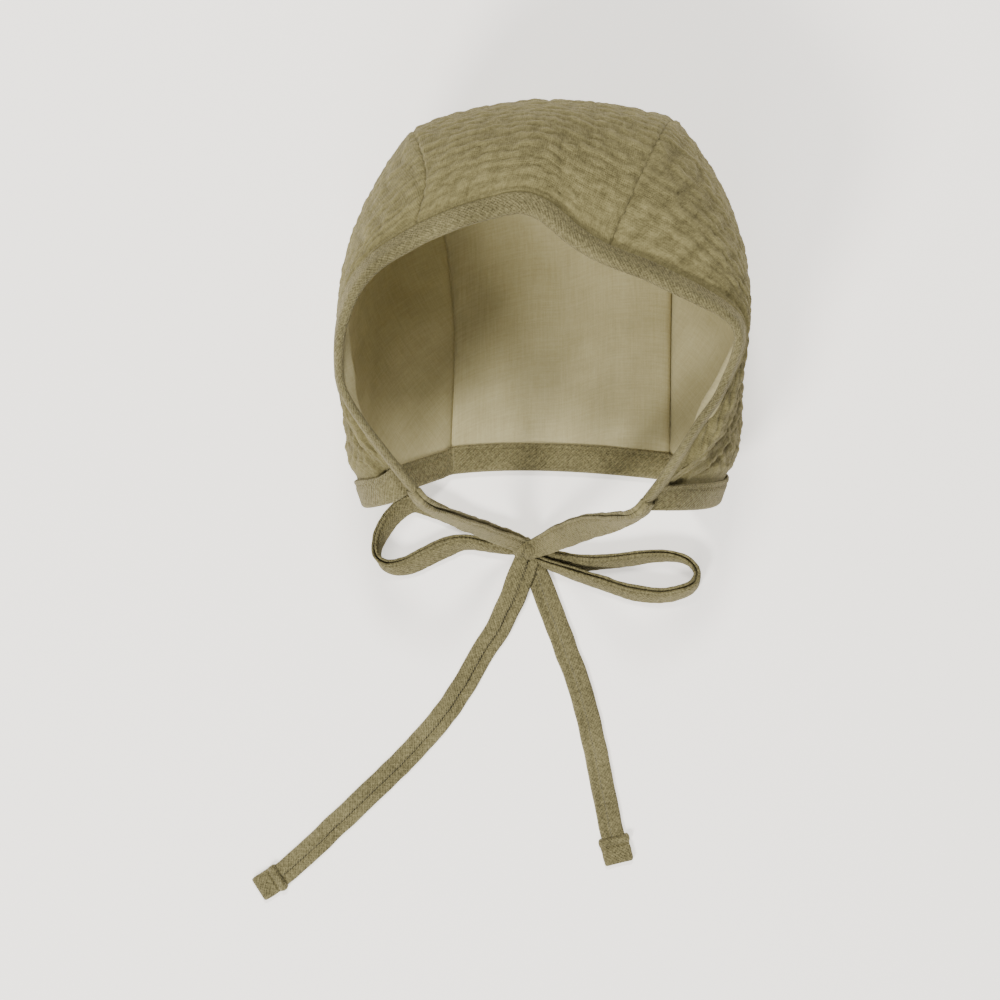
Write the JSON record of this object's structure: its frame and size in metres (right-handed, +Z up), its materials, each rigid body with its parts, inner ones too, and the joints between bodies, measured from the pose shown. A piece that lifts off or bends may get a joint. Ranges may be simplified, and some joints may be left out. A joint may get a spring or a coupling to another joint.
{
  "type": "baby bonnet",
  "caption": "Soft three-panel baby bonnet with a smooth lining, a bound face edge, a banded neck edge and ties done up in a bow.",
  "frame": {"origin": "on the surface that the bonnet lies on, below the middle of the bonnet without its ties", "axes": "+Z up through the face opening, +Y towards the crown, -Y towards the neck and the ties, +X to the wearer's left"},
  "size_m": [0.1758, 0.2831, 0.1066],
  "materials": {
    "muslin": "crinkled cotton double gauze, matt",
    "lining": "smooth plain-weave cotton, matt",
    "tape": "cotton bias tape, folded and stitched"
  },
  "bodies": {
    "root": {"crown_panel": "muslin", "side_panel_left": "muslin", "side_panel_right": "muslin", "lining_centre": "lining", "lining_left": "lining", "lining_right": "lining", "front_binding": "tape", "neck_band": "tape", "chin_tie_left": "tape", "chin_tie_right": "tape", "bow_knot": "tape", "bow_loop_left": "tape", "bow_loop_right": "tape", "tail_left": "tape", "tail_right": "tape", "tie_end_left": "tape", "tie_end_right": "tape"}
  },
  "joints": []
}
